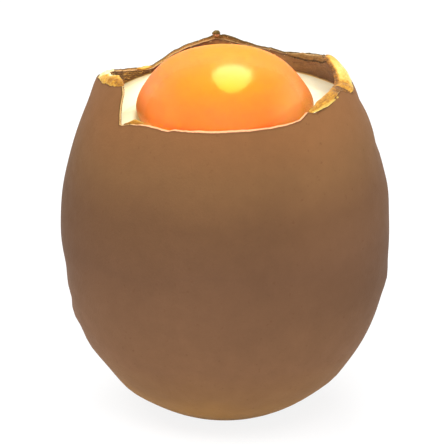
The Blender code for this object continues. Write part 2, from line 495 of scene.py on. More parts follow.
# %% [markdown]
# ### The broken face and the inside
#
# Across the break an eggshell has layers: the brown coat, the pale lime under it, and the golden skin that
# lines it. The wall stores how far through it each point lies, in `through`, so the layers follow the
# break wherever it goes. The inside is stained brown, with streaks that run along the edge. They follow
# `below`, the distance under the edge in millimetres.


# %% Broken face
def break_finish():
    material, shader, place = new_finish("broken_shell", IOR=1.45, Roughness=0.6, Specular_IOR_Level=0.25)
    through, stain = stored(place, "through"), stored(place, "stain")
    crumbly = noise(place, scale=5.0, detail=3, roughness=0.65)
    across = through + (crumbly - 0.5) * 0.16
    clean = ramp(
        across, (0, 104, 68, 44), (0.16, 170, 112, 76), (0.34, 220, 158, 114), (0.85, 228, 166, 116),
        (1, 206, 136, 84),
    )
    dried = ramp(
        across + fade(place.parts()[0], 0, -4) * 0.05, (0, 74, 62, 26), (0.29, 98, 78, 34),
        (0.35, 192, 154, 98), (0.72, 222, 186, 128), (0.92, 112, 62, 24),
    )
    dark = ramp(across, (0, 84, 70, 40), (0.45, 122, 96, 58), (0.9, 92, 58, 34))
    blotch = noise(place, scale=1.3, detail=3, roughness=0.6)
    colour = mixed((stain + (blotch - 0.5) * 0.5).clamped(), clean, dried)
    colour = mixed((stain - 1.0 + (blotch - 0.5) * 0.5).clamped(), colour, dark)
    colour = colour.vector("SCALE", (crumbly - 0.5) * 0.7 + 1.0)
    wire(shader, Base_Color=colour, Normal=bumped(crumbly, 0.08))
    return material


# %% Streaked inside
def inside_finish():
    material, shader, place = new_finish(
        "streaked_inside", IOR=1.42, Roughness=0.42, Specular_IOR_Level=0.35
    )
    x, y, _ = place.parts()
    below, wet = stored(place, "below"), stored(place, "above_white")
    round_way = joined(x, y, 0.0).vector("NORMALIZE").vector("SCALE", 9.0)
    streaky = round_way.vector("ADD", joined(0.0, 0.0, below * 3.6))
    streaks = noise(streaky, scale=1.7, detail=4, roughness=0.66, distortion=0.5)
    blotch = noise(place, scale=1.1, detail=4, roughness=0.65)
    dry = ramp(  # the left side dried in dark and golden streaks
        (streaks - 0.5) * 1.5 + 0.5, (0.24, 54, 20, 4), (0.42, 84, 46, 8), (0.54, 115, 73, 16),
        (0.64, 164, 119, 38), (0.8, 226, 190, 112),
    )
    plain = ramp(  # the right side is an even brown
        streaks * 0.45 + blotch * 0.55, (0.32, 99, 60, 35), (0.48, 139, 95, 53), (0.6, 153, 108, 60),
        (0.74, 181, 137, 82),
    )
    colour = mixed(fade(x, -11, -5), dry, plain)
    hem = fade(below + (blotch - 0.5) * 0.3, 0.35, 0)  # a dark line under the edge
    colour = mixed(hem * 0.75, colour, (70, 36, 20))
    # Rust brown under the low place at the back left.
    rust = fade(x, -10.5, -9) * fade(x, -1, -4) * fade(y, 0, 1) * fade(below, 2, 0.75)
    colour = mixed(rust * 0.9, colour, (88, 28, 8))
    deep = fade(below, 1, 4) * fade(x, 0, 1)  # the right side darkens further down
    colour = mixed(deep * 0.8, colour, (92, 54, 26))
    painted_contact_shade = fade(wet + (blotch - 0.5) * 0.4, 0.65, 0)  # painted shade: a dark line where the wall meets the white
    colour = mixed(painted_contact_shade * 0.85, colour, (70, 40, 16))
    shine = fade(wet + (blotch - 0.5) * 0.3, 0.34, 0)  # and under it a golden rim of dried white
    colour = mixed(shine * 0.9, colour, (226, 190, 108))
    wire(shader, Base_Color=colour, Normal=bumped(streaks, 0.16))
    return material


brown_shell, broken_shell, streaked_inside = shell_finish(), break_finish(), inside_finish()
print("Finishes for the shell:", brown_shell.name, broken_shell.name, streaked_inside.name)

# %% [markdown]
# ## The shell
#
# The shell could be lathed with a Screw modifier and given a wall with Solidify, but then its top rows
# could not follow the break, and its broken face would be one flat strip. A rule does better. A flat grid
# is laid out with a column for each point of the ring. Its rows climb the outside, cross the break, and go
# down the inside. Geometry Nodes works out where each grid point belongs from the egg's curve.


# %% The tree that makes the wall
def egg_wall_tree():
    tree, given = new_tree(
        "egg wall", Float=("Length", "Breadth", "Offset", "Flat", "Wall", "Top", "Even height", "Relief"),
        Int=("Columns", "Wall rows", "Break rows"), Material=("Outside", "Broken face", "Inside"),
    )
    length, flat, ring = given["Length"], given["Flat"], given["Geometry"]

    def radius_at(height):
        along = height + flat - length * 0.5
        under = length * length + given["Offset"] * along * 8.0 + given["Offset"] * given["Offset"] * 4.0
        over = (length * length - along * along * 4.0).math("MAXIMUM", 0.0)
        return given["Breadth"] * 0.5 * (over / under).math("SQRT")

    rows = given["Wall rows"] * 2.0 + given["Break rows"] - 1.0
    grid, column, row = sheet(given["Columns"] + 1.0, rows)
    column = column.math("MODULO", given["Columns"])
    here = out_of(tree, "GeometryNodeInputPosition")
    x, y, top = taken(ring, here, column, "FLOAT_VECTOR").parts()
    named = ("lean", "step", "stain")
    lean_here, step_here, stain_here = (taken(ring, own(tree, name), column) for name in named)
    spoke = joined(x, y, 0.0).vector("NORMALIZE")

    # How far up the wall, and how far through it, each row is.
    disc = 3.0  # rows of the small flat at the bottom
    back = rows - 1.0 - row
    climb = row.math("MINIMUM", back)
    through = ((row - (given["Wall rows"] - 1.0)) / given["Break rows"]).clamped()
    up = ((climb - disc) / (given["Wall rows"] - 1.0 - disc)).clamped()
    up = (up.from_number(1.0) ** 1.7).from_number(1.0)  # rows lie closer together near the break

    first = (flat / length * -2.0 + 1.0).math("ARCCOSINE")
    last = ((flat + given["Top"]) / length * -2.0 + 1.0).math("ARCCOSINE")
    turn = first + up * (last - first)
    even = length * 0.5 * turn.math("COSINE").from_number(1.0) - flat
    edge_here = top + lean_here * through - step_here * fade(through, 0.28, 0.28 + 1 / 12)
    follow = fade(even, given["Even height"], given["Top"])
    height = even + (edge_here - given["Top"]) * follow

    # The broken face is rough: its inner rows rise and fall a little.
    ragged = noise(joined(x * (0.9 / MM), y * (0.9 / MM), through * 3.0)) - 0.5
    height = height + ragged * through * through.from_number(1.0) * (4 * 0.12 * MM)

    nudge = 0.01 * MM
    slope = (radius_at(height + nudge) - radius_at(height - nudge)) / (2 * nudge)
    slant = (slope * slope + 1.0).math("SQRT")
    inset = given["Wall"] * through
    radius = (radius_at(height) - inset / slant) * (climb / disc).clamped()
    lifted = height + inset * slope / slant
    place = spoke.vector("SCALE", radius).vector("ADD", joined(0.0, 0.0, lifted))
    depth = (edge_here - height) * (1 / MM)
    shape = kept(placed(grid, Position=place), through=through, below=depth, stain=stain_here)

    # Low ridges on the inside, along the break, that fade out further down.
    inside = ((through - 0.99) * 100.0).clamped()
    near_edge = depth.clamped() * (depth * -0.15 + 1.2).clamped()
    streaky = spoke.vector("SCALE", 9.0).vector("ADD", joined(0.0, 0.0, depth * 3.2))
    ridges = noise(streaky, scale=1.6, detail=3, distortion=0.35) - 0.5
    push = spoke.vector("SCALE", ridges * given["Relief"] * inside * near_edge * -2.0)
    through = own(tree, "through")
    end_tree(
        merged(placed(shape, Offset=push)), (given["Outside"], None),
        (given["Broken face"], through.math("GREATER_THAN", 0.01)),
        (given["Inside"], through.math("GREATER_THAN", 0.99)),
    )
    return tree


eggshell = grown(
    "eggshell", broken_edge, egg_wall_tree(),
    Length=EGG_LENGTH, Breadth=EGG_BREADTH, Offset=EGG_OFFSET, Flat=FLAT, Wall=WALL,
    Top=46 * MM, Even_height=36 * MM, Relief=0.08 * MM, Columns=COLUMNS, Wall_rows=72, Break_rows=12,
    Outside=brown_shell, Broken_face=broken_shell, Inside=streaked_inside,
)

# %% [markdown]
# ### Dents and swellings
#
# No egg is perfect. A few shallow dents and swellings break up the outline at the lower left and the
# right. Each is a soft hill of a given spread and depth, added up over the list and taken off the radius.

# %% Dents
DENTS = (  # angle, height, spread in degrees, spread in mm, depth in mm (a swelling is below 0)
    (184, 20.8, 16, 2.8, 0.38), (186, 16.4, 9, 1.2, 0.18), (188, 14.6, 8, 1, -0.26),
    (193, 10.6, 11, 1.3, -0.15), (198, 7.7, 13, 1.5, 0.12), (208, 4.5, 15, 1.5, -0.32),
    (168, 46.2, 14, 2.2, -0.45), (9, 43, 11, 1.3, 0.24), (7, 37.2, 12, 1.3, 0.18),
    (0, 31.2, 14, 2.4, -0.2), (-4, 19.2, 11, 1.6, -0.26), (-22, 6.1, 13, 1.4, -0.22),
    (-4, 12, 30, 8, -0.15), (176, 31, 14, 3, -0.1),
)


# %% How far the wall is pushed in
def dent(angle, height):
    """How far the wall is pushed in, in metres, at angles in degrees and heights in metres."""
    depth = 0 * angle
    for middle, level, spread, tall, deep in DENTS:
        depth += deep * near(angle, middle, spread) * np.exp(-(((height / MM - level) / tall) ** 2))
    return depth * MM


def polar(points):
    """Angle in degrees, radius and height of each point."""
    x, y, height = points.T
    return np.degrees(np.arctan2(y, x)) % 360, np.hypot(x, y), height


def from_polar(angle, radius, height):
    turn = np.radians(angle)
    return np.stack([radius * np.cos(turn), radius * np.sin(turn), height], 1)


# %% Push it in
angle, radius, height = polar(points_of(eggshell))
pushed = dent(angle, height) * np.clip(radius / (8 * MM), 0, 1)
put_points(eggshell, from_polar(angle, radius - pushed, height))
eggshell.data.set_sharp_from_angle(angle=math.radians(40))
print(f"The deepest dent is {pushed.max() / MM:.2f} mm and the highest swelling {-pushed.min() / MM:.2f} mm")

# %% [markdown]
# ## The white
#
# Raw white is a thick liquid. It fills the shell level, creeps a little way up the wall, and rises round
# the yolk. It is one closed body here: a profile is turned round the axis with a Screw modifier, which is
# the simplest way for a round piece. Its edge reaches just into the wall, so that no gap shows there, and
# its hollow lies just inside the yolk.


# %% Wet white
def white_finish():
    material, shader, place = new_finish(
        "raw_white", IOR=1.36, Roughness=0.24, Specular_IOR_Level=0.2, Subsurface_Weight=0.15,
        Subsurface_Radius=(1.0, 0.9, 0.7), Subsurface_Scale=2 * MM,
    )
    x, y, _ = place.parts()
    out = joined(x, y, 0.0).vector("LENGTH")
    cloud = noise(place, scale=0.35, detail=3, roughness=0.55)
    body = ramp(cloud, (0.3, 253, 246, 202), (0.5, 253, 249, 214), (0.7, 250, 251, 221))
    body = mixed(fade(x, 0, -6) * 0.8, body, (253, 243, 194))  # one side is creamier
    by_yolk = fade(out, 12.2, 11.7)
    colour = mixed(by_yolk * 0.5, body, (255, 214, 140))
    wire(shader, Base_Color=colour, Normal=bumped(cloud, 0.3, 0.15))
    return material


# %% Sizes of the yolk and the white
yolk_low, yolk_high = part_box("yolk")
YOLK_RADIUS = (yolk_high.x - yolk_low.x) / 2
YOLK_HALF = (yolk_high.z - yolk_low.z) / 2
YOLK_MIDDLE = (yolk_high.z + yolk_low.z) / 2
CREEP = 0.4 * MM
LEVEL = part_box("white")[1].z - CREEP


# %% Turn a profile
def turned(name, profile, columns):
    """A profile of (radius, height) points turned round Z into a plain mesh."""
    points = [(radius, 0, height) for radius, height in profile]
    mesh = bpy.data.meshes.new(name)
    mesh.from_pydata(points, [(n, n + 1) for n in range(len(points) - 1)], [])
    piece = in_scene(name, mesh)
    screw = piece.modifiers.new("Turn", "SCREW")
    screw.steps = screw.render_steps = columns
    screw.use_merge_vertices, screw.merge_threshold = True, TOUCHING
    screw.use_normal_calculate = False
    frozen(piece).data.shade_smooth()
    return piece


# %% The white's profile
def wall_inset(height, inset):
    """Radius of a surface that lies inset inside the wall, at a height."""
    tries = np.linspace(-FLAT * 0.5, EGG_LENGTH * 0.85, 4000)
    slope = np.gradient(egg_radius(tries), tries)
    slant = np.hypot(1, slope)
    return np.interp(height, tries + inset * slope / slant, egg_radius(tries) - inset / slant)


def white_profile():
    """Down from the hollow under the yolk, out over the surface, and down inside the wall."""
    inside_yolk = 0.12 * MM
    wide, deep = YOLK_RADIUS - inside_yolk, YOLK_HALF - inside_yolk
    rise_at_yolk = 0.9 * MM
    lip = math.asin((YOLK_MIDDLE - LEVEL - rise_at_yolk) / deep)
    downs = np.linspace(math.pi / 2, lip, 14)
    profile = [(wide * math.cos(down), YOLK_MIDDLE - deep * math.sin(down)) for down in downs]
    profile[0] = (0.0, profile[0][1])
    start = profile[-1]
    end = wall_inset(LEVEL + CREEP, WALL * 0.5)
    for share in np.linspace(0, 1, 34)[1:]:
        radius = start[0] + share * (end - start[0])
        from_yolk, from_wall = radius - start[0], end - radius
        rise = rise_at_yolk * math.exp(-from_yolk / (0.55 * MM))
        rise += CREEP * math.exp(-((from_wall / (0.75 * MM)) ** 1.3))
        profile.append((radius, LEVEL + rise + 0.1 * MM * math.sin(math.pi * share)))
    for height in np.linspace(LEVEL + CREEP, 2 * MM, 26)[1:]:
        profile.append((wall_inset(height, WALL * 0.6), height))
    return [*profile, (0.0, 1.2 * MM)]


# %% The white
egg_white = turned("egg_white", white_profile(), 160)
egg_white.data.materials.append(white_finish())

# %% [markdown]
# The surface isn't quite level. It sags toward a low place in the rim at the back left, and broad, slow
# waves cross it. The shell learns how far each of its points is above the white, in millimetres, so that
# its finish can draw a golden rim of dried white there, and above it a dark line of painted shade.

# %% Let the white settle
SAG, SAG_ANGLE, SAG_SPREAD = 1.0 * MM, 152.0, 22.0


def settle(points):
    angle, radius, height = polar(points)
    at_top = np.clip((height - LEVEL + 2.5 * MM) / (2 * MM), 0, 1)
    outward = np.clip((radius - YOLK_RADIUS - 0.2 * MM) / (2 * MM), 0, 1)
    sag = SAG * near(angle, SAG_ANGLE, SAG_SPREAD)
    wave = 0.08 * MM * np.sin(np.radians(angle) * 5 + radius * 900) * np.sin(np.radians(angle) * 2 + 1)
    middle = np.clip((radius - YOLK_RADIUS) / MM, 0, 1) * np.clip((16 * MM - radius) / MM, 0, 1)
    dented = dent(angle, height) * np.clip((radius - 14 * MM) / (2 * MM), 0, 1)
    return from_polar(angle, radius - dented, height + (wave * middle - sag * outward) * at_top)


put_points(egg_white, settle(points_of(egg_white)))
angle, _, height = polar(points_of(eggshell))
waterline = LEVEL + CREEP * 0.8 - SAG * near(angle, SAG_ANGLE, SAG_SPREAD)
field(eggshell, "above_white", (height - waterline) / MM)
print(f"The white stands at {LEVEL / MM:.2f} mm")

# %% [markdown]
# ## The yolk
#
# A yolk is a bag of thick liquid in a clear skin. Out of its shell it would slump; held by the white, it
# stands as a dome whose shoulders fall in a little. A ball is pressed to that shape point by point. Its
# colour runs from deep orange, where it is thick, to yellow at the top, where the light gets through. The
# wet skin gives one soft highlight. Its warm tint sits on the shader's own Specular Tint.


# %% Wet yolk
def yolk_finish():
    material, shader, place = new_finish(
        "raw_yolk", IOR=1.5, Specular_IOR_Level=1.0, Specular_Tint=(1.0, 0.9, 0.05, 1.0),
        Subsurface_Weight=1.0, Subsurface_Radius=(1.0, 0.35, 0.05), Subsurface_Scale=1.5 * MM,
    )
    height = place.parts()[2]
    cloud = noise(place, scale=0.22, detail=3)
    fine = noise(place, scale=1.6, detail=3, roughness=0.6)
    colour = ramp(
        (height - 41.0 + (cloud - 0.5) * 1.6) / 10.0, (0, 254, 122, 64), (0.25, 254, 121, 61),
        (0.5, 254, 123, 58), (0.75, 254, 132, 38), (1, 254, 135, 2),
    )
    x, y, _ = place.parts()
    edge = fade(joined(x, y, 0.0).vector("LENGTH"), 8, 11.5)  # painted light on the lower front flanks, against their shade
    edge = edge * fade(y, 1.8, -4.2) * fade(x.math("ABSOLUTE"), 5.2, 9.2)
    colour = mixed(edge * 0.8, colour, (255, 164, 84))
    colour = mixed(fade(x, 0, -9) * 0.4, colour, (254, 110, 40))  # one side is deeper
    colour = colour.vector("SCALE", (fine - 0.5) * 0.05 + 1.0)
    # Its skin dulls in fine specks where it turns away.
    speck = ((noise(place, scale=12.0, detail=0) - 0.5) * 3.0 + 0.5).clamped()
    facing = out_of(place.tree, "ShaderNodeLayerWeight", {"Blend": 0.5}, "Facing")
    wire(
        shader, Base_Color=colour, Roughness=fade(facing, 0.42, 0.76) * (speck * 0.8 + 0.1) + 0.14,
        Normal=bumped(cloud + fine * 0.1, 0.2, 0.12),
    )
    return material


# %% Press the yolk
def press_yolk():
    bpy.ops.mesh.primitive_uv_sphere_add(segments=128, ring_count=72, radius=1)
    yolk = bpy.context.object
    yolk.name = yolk.data.name = "egg_yolk"
    angle, radius, height = polar(points_of(yolk))
    lean_in = 0.075 - 0.015 * np.cos(np.radians(angle))
    lean_in = lean_in - 0.035 * near(angle, 140, 30) + 0.02 * near(angle, 22, 30)
    height = height * (1 - 0.045 * np.clip(height * 2, 0, 1))  # its own weight flattens the dome
    shoulder = np.sin(np.pi * np.clip((height + 0.2) / 1.2, 0, 1)) ** 2
    widest = 1 - 0.25 * 0.07  # the share of the radius that the widest ring keeps
    wide = YOLK_RADIUS * (1 - lean_in * shoulder) / widest
    points = from_polar(angle, radius * wide, YOLK_MIDDLE + height * YOLK_HALF)
    put_points(yolk, points)
    yolk.data.shade_smooth()
    yolk.data.materials.append(yolk_finish())
    return yolk


egg_yolk = press_yolk()
print(f"The yolk is {2 * YOLK_RADIUS / MM:.1f} mm across and {2 * YOLK_HALF / MM:.1f} mm high")

# %% [markdown]
# ## Torn skin
#
# A thin, tough skin lines the shell. Where the shell broke away, strips of it tore loose, folded over the
# edge and dried to gold. Each strip follows a path along the break. A second tree sweeps a section along
# that path: a flat band with a bend across it, as wide as the path says at each point. Noise then makes
# it crinkled.


# %% The tree that makes a strip of skin
def torn_skin_tree():
    tree, given = new_tree(
        "torn skin", Int=("Section points",), Float=("Crinkle", "Crinkles per mm", "Seed"), Material=("Skin",)
    )
    path = given["Geometry"]
    count = out_of(tree, "GeometryNodeAttributeDomainSize", (path,), "Point Count")
    rows = given["Section points"]
    grid, column, row = sheet(count, rows + 1.0)
    here = out_of(tree, "GeometryNodeInputPosition")
    middle = taken(path, here, column, "FLOAT_VECTOR")
    x, y, _ = middle.parts()
    spoke = joined(x, y, 0.0).vector("NORMALIZE")
    half, thick, arch, tilt, inner, pale, outer, along = (
        taken(path, own(tree, name), column)
        for name in "half thick arch tilt inner pale outer along".split()
    )
    turn = row.math("MODULO", rows) / rows * (2 * math.pi)
    across, face = turn.math("COSINE"), turn.math("SINE")
    out = across * half
    up = face * thick * 0.5 + arch * (across * across).from_number(1.0)
    cos, sin = tilt.math("COSINE"), tilt.math("SINE")
    place = middle.vector("ADD", spoke.vector("SCALE", out * cos - up * sin))
    place = place.vector("ADD", joined(0.0, 0.0, out * sin + up * cos))
    to_inner, to_outer = fade(across, -0.35, -0.85), fade(across, 0.35, 0.85)
    pale = pale + (inner - pale) * to_inner + (outer - pale) * to_outer
    shape = kept(placed(grid, Position=place), across=across, side=out * (1 / MM), along=along, pale=pale)

    # Crinkles push every point by its own soft random amount, so both faces of the skin move alike.
    there = here.vector("SCALE", given["Crinkles per mm"] * (1 / MM))
    there = there.vector("ADD", joined(given["Seed"], given["Seed"] * 0.7, 0.0))
    random = noise(there, output="Color").vector("SUBTRACT", (0.5, 0.5, 0.5))
    shape = placed(shape, Offset=random.vector("SCALE", given["Crinkle"] * 2.0))
    end_tree(merged(shape), (given["Skin"], None))
    return tree


# %% Golden skin
def skin_finish(name, *tones):
    material, shader, place = new_finish(name, IOR=1.45, Roughness=0.45, Specular_IOR_Level=0.2)
    pale, across, side, along = (stored(place, name) for name in ("pale", "across", "side", "along"))
    fibre = noise(joined(side * 3.4, along * 0.9, pale), scale=1.0, detail=5, roughness=0.7, distortion=0.7)
    fold = noise(place, scale=1.6, detail=4, roughness=0.68)
    blotches = (fibre - 0.5) * 0.9 + (fold - 0.5) * 0.8  # the palest skin is the smoothest
    tone = pale * 0.42 + blotches * (pale * -0.35 + 0.75) + 0.42
    colour = ramp(tone + (across * across * 0.1 - 0.05), *tones)
    wire(shader, Base_Color=colour, Normal=bumped(fibre + fold, 0.16))
    return material


golden_skin = skin_finish(
    "golden_skin", (0.02, 70, 40, 14), (0.18, 112, 72, 26), (0.34, 156, 103, 34), (0.5, 194, 138, 47),
    (0.64, 216, 169, 72), (0.8, 231, 199, 104), (0.97, 248, 238, 184),
)
dull_skin = skin_finish(
    "dull_skin", (0.08, 58, 34, 12), (0.3, 100, 68, 30), (0.5, 136, 100, 52), (0.74, 184, 150, 100)
)
print("Finishes for the skin:", golden_skin.name, dull_skin.name)

# %% [markdown]
# Each strip is described along its own way: the angle where it starts and ends, and at a few places its
# radius, height, half width, how far its middle arches up, its tilt, and how pale it is along its inner
# edge, its middle and its outer edge. Values between are filled in smoothly, and both ends close to a
# point.


# %% Between the given places
def fill_in(share, places, values):
    """Values along a path, smoothly between the given places."""
    part = np.clip(np.searchsorted(places, share, side="right") - 1, 0, len(places) - 2)
    t = (share - places[part]) / (places[part + 1] - places[part])
    return values[part] + t * t * (3 - 2 * t) * (values[part + 1] - values[part])


# %% A strip of skin
torn_skin = torn_skin_tree()


def strip(name, start, end, thick, crinkle, seed, stations, count=90, fine=0.9, skin=golden_skin):
    """A strip of skin. A station is (share of the way, radius, height, half width, arch, tilt in degrees,
    then how pale the inner edge, the middle and the outer edge are), in mm."""
    share = np.linspace(0, 1, count)
    table = np.array(stations, float).T
    rows = (fill_in(share, table[0], row) for row in table[1:])
    radius, height, half, arch, tilt, inner, pale, outer = rows
    blunt = np.clip(1 - np.abs(2 * share - 1) ** 9, 0, 1) ** 0.5
    angle = start + share * (end - start)
    path = ring_mesh(
        name, angle, radius * MM, height * MM, closed=False, half=half * blunt * MM,
        thick=thick * blunt * MM, arch=arch * blunt * MM, tilt=np.radians(tilt), inner=inner, pale=pale,
        outer=outer, along=np.radians(np.abs(angle - start)) * radius,
    )
    made = grown(
        name, path, torn_skin, Section_points=28, Crinkle=crinkle * MM, Crinkles_per_mm=fine, Seed=seed,
        Skin=skin,
    )
    if end < start:  # on a path that runs back round the egg, the faces come out turned inwards
        made.data.flip_normals()
    return made


# %% The four strips of the CAD model
strips = [
    # the lip on the right: broad, thick and pale, with painted groove shade along its inner edge, and a
    # rounded lower end
    strip("skin_right", 35, -12, 0.3, 0.14, 3.0, (
        (0, 16.5, 46.75, 0.35, 0.1, 10, -0.5, -0.4, -0.4),
        (0.1, 16.2, 46.8, 0.85, 0.22, -7, -0.5, 0.5, 1),
        (0.25, 16.05, 46.55, 1, 0.26, -12, -0.55, 0.9, 1),
        (0.4, 15.85, 46.55, 1.05, 0.3, -9, -0.55, 1, 1),
        (0.66, 15.8, 46.25, 1.22, 0.35, -12, -0.55, 0.8, 1),
        (0.77, 15.85, 46.2, 1.28, 0.22, -9, -0.5, 0.15, 0.7),
        (0.88, 15.95, 46.3, 1.36, 0.45, -7, 0.1, 0.2, 0.1),
        (0.94, 15.9, 46.3, 1.42, 0.36, -6, 0.1, 0.2, 0.2),
        (1, 15.8, 46.2, 1.45, 0.05, -2, 0.1, 0.3, 0.5),
    )),
    # the strip at the front right, which hangs in over the white, with a painted highlight along its outer
    # edge
    strip("skin_front", 357, 313, 0.24, 0.08, 11.0, (
        (0, 15.8, 46.3, 0.8, 0, -12, -0.4, -0.5, -0.6),
        (0.15, 15.6, 46.65, 1.1, 0.05, -14, -0.3, -0.5, -0.6),
        (0.35, 15.65, 47.05, 0.9, 0.12, -28, 0, -0.3, -0.4),
        (0.5, 15.8, 47.3, 0.78, 0.14, -28, 0.1, 0.15, 0.5),
        (0.75, 16, 47.2, 0.75, 0.14, -28, 0, 0.1, 0.85),
        (0.92, 16.25, 47, 0.5, 0.08, -24, 0, 0.15, 0.65),
        (1, 16.35, 46.9, 0.35, 0.05, -20, 0.2, 0.2, 0.2),
    )),
    # the crumpled patch on top of the left shard, and the pale skin behind it
    strip("skin_left", 150, 208, 0.24, 0.24, 21.0, (
        (0, 17.15, 45, 0.3, 0.05, 0, 1.2, 1.2, 0.8),
        (0.2, 16.75, 45.75, 0.48, 0.12, -5, 1.3, 1.3, 1.2),
        (0.4, 16.3, 46.75, 0.65, 0.12, -20, 1.3, 1.2, 1.2),
        (0.58, 15.85, 47.55, 0.85, 0.2, -35, 1.3, 0.55, 0.4),
        (0.8, 15.3, 48.4, 0.95, 0.24, -35, 0.5, 0.1, 0.2),
        (0.94, 15.15, 48.7, 0.6, 0.14, -30, -0.3, -0.1, 0.1),
        (1, 15.2, 48.75, 0.3, 0.05, -15, -0.4, -0.2, 0),
    ), count=110, fine=1.5),
    # the chip at the foot of the notch
    strip("skin_corner", 216.5, 229.5, 0.24, 0.06, 31.0, (
        (0, 16.75, 44.4, 0.35, 0.05, -45, 0, -0.2, -0.2),
        (0.5, 16.5, 45.05, 0.62, 0.1, -50, 0.2, -0.05, -0.3),
        (1, 16.5, 45.4, 0.3, 0.05, -45, 0.2, 0, -0.2),
    ), count=40, fine=1.5),
]

# %% Three folds that the CAD model leaves out
more_strips = [
    # a fold of streaky skin that hangs in from the left shard
    strip("skin_fold", 178, 206, 0.14, 0.14, 41.0, (
        (0, 15.4, 46.4, 0.3, 0, 10, -0.3, -0.3, -0.3),
        (0.3, 14.9, 46.8, 0.75, 0.1, 10, -0.3, -0.3, -0.3),
        (0.62, 14.7, 47.2, 0.8, 0.1, 15, -0.3, -0.3, -0.3),
        (0.88, 15.1, 47.7, 0.5, 0.05, 25, -0.4, -0.3, -0.3),
        (1, 15.4, 48, 0.25, 0, 30, -0.4, -0.3, -0.3),
    ), count=80, fine=1.1),
    # a flap folded over the edge at the far right
    strip("skin_flap", 60, 31, 0.14, 0.08, 51.0, (
        (0, 16.8, 44.8, 0.25, 0.05, 60, -0.6, 0.1, 0.3),
        (0.35, 16.5, 45.25, 0.5, 0.1, 60, -0.8, 0.2, 0.5),
        (0.75, 16.35, 45.85, 0.52, 0.1, 60, -0.8, 0.2, 0.5),
        (1, 16.2, 46.3, 0.35, 0.05, 55, -0.8, 0.1, 0.3),
    ), count=60, fine=1.6, skin=dull_skin),
    # the golden fold by the low place at the back left
    strip("skin_pocket", 131, 123, 0.16, 0.06, 61.0, (
        (0, 18.02, 43.1, 0.16, 0.05, 40, -0.4, 0.5, 0),
        (0.5, 18.05, 42.9, 0.28, 0.1, 45, 0, 1, 0.3),
        (1, 18, 42.9, 0.16, 0.05, 40, -0.4, 0.3, 0),
    ), count=40, fine=1.6),
]

# %% [markdown]
# ## A crumb on the tip
#
# A dark crumb of shell clings to the high tip at the back. An icosphere is the right start for a lump:
# its faces are even, so noise can push it into a rough shape without pinching at any pole.


# %% Dark crumb
def crumb_finish(cap_level):
    material, shader, place = new_finish("dark_crumb", IOR=1.45, Roughness=0.55, Specular_IOR_Level=0.2)
    grit = noise(place, scale=4.0, detail=4, roughness=0.65)
    cap = ramp(grit, (0.3, 58, 48, 20), (0.55, 104, 84, 42), (0.75, 150, 120, 70))
    under = ramp(grit, (0.35, 92, 34, 20), (0.5, 188, 134, 96), (0.65, 236, 190, 150))
    x, _, z = place.parts()
    capped = fade(z - cap_level + (grit - 0.5) * 0.4, -0.075, 0.075)
    wire(shader, Base_Color=mixed(capped, under, cap), Normal=bumped(grit, 0.08))
    return material


# %% A rough lump
def lump(name, low, high, seed, roughness=0.12):
    """A rough lump that fills a box."""
    bpy.ops.mesh.primitive_ico_sphere_add(subdivisions=4, radius=1)
    piece = bpy.context.object
    piece.name = piece.data.name = name
    points = points_of(piece)
    bumps = np.zeros(len(points))
    random = np.random.default_rng(seed)
    for size in (1.5, 2.5, 4.0, 6.0):
        for _ in range(3):
            way = random.normal(size=3)
            bumps += np.sin(points @ way * size + random.uniform(0, 6.3)) / size
    points *= (1 + roughness * bumps)[:, None]
    points /= np.abs(points).max(0)
    low, high = np.array(low), np.array(high)
    put_points(piece, (low + high) / 2 + points * (high - low) / 2)
    piece.data.shade_smooth()
    return piece


# %% The crumb
low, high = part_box("crumb_peak")
low.x -= 0.3 * MM
high.x += 0.12 * MM
low.z -= 0.35 * MM  # it sits down onto the tip
tip_crumb = lump("tip_crumb", low, high, 2)
tip_crumb.data.materials.append(crumb_finish((low.z + 0.45 * (high.z - low.z)) / MM))
print(f"The crumb is {(high.x - low.x) / MM:.2f} mm wide")

# %% [markdown]
# ## Crumbs along the break
#
# Where shell and skin tore, hundreds of tiny crumbs cling to the edge. They repeat one shape, which is work
# for a tree: it scatters points over the rough part of the wall, puts a small lump of 20 faces on each, and
# turns and sizes each by chance. `stain` keeps them off the clean front of the break.


# %% The tree that scatters crumbs
def crumb_tree():
    tree, given = new_tree("rim crumbs", Float=("Density", "Size"), Int=("Seed",), Material=("Crumb",))
    through, below, stained = (own(tree, name) for name in ("through", "below", "stain"))
    rough = through.math("GREATER_THAN", 0.1) * below.math("LESS_THAN", 0.7) * stained.clamped()
    inputs = {"Mesh": given["Geometry"], "Density": given["Density"] * rough, "Seed": given["Seed"]}
    spots = out_of(tree, "GeometryNodeDistributePointsOnFaces", inputs, "Points")
    crumb = out_of(tree, "GeometryNodeMeshIcoSphere", {"Radius": given["Size"], "Subdivisions": 1})

    def by_chance(low, high):
        inputs = {"Min": low, "Max": high, "Seed": given["Seed"]}
        return out_of(tree, "FunctionNodeRandomValue", inputs, data_type="FLOAT_VECTOR")

    turn, size = by_chance((0.0, 0.0, 0.0), (6.3, 6.3, 6.3)), by_chance((0.4, 0.4, 0.25), (1.0, 1.0, 0.6))
    inputs = {"Points": spots, "Instance": crumb, "Rotation": turn, "Scale": size}
    end_tree(out_of(tree, "GeometryNodeInstanceOnPoints", inputs), (given["Crumb"], None))
    return tree


# %% Crumbs and their finish
def rim_crumb_finish():
    material, shader, place = new_finish("rim_crumbs", IOR=1.45, Roughness=0.55, Specular_IOR_Level=0.25)
    tone = noise(place, scale=1.9, roughness=0.6)
    colour = ramp(tone, (0.3, 64, 40, 18), (0.44, 124, 92, 44), (0.54, 190, 148, 78), (0.66, 236, 206, 150))
    grit = noise(place, scale=9.0)
    wire(shader, Base_Color=colour.vector("SCALE", grit * 0.5 + 0.75), Normal=bumped(grit, 0.04))
    return material


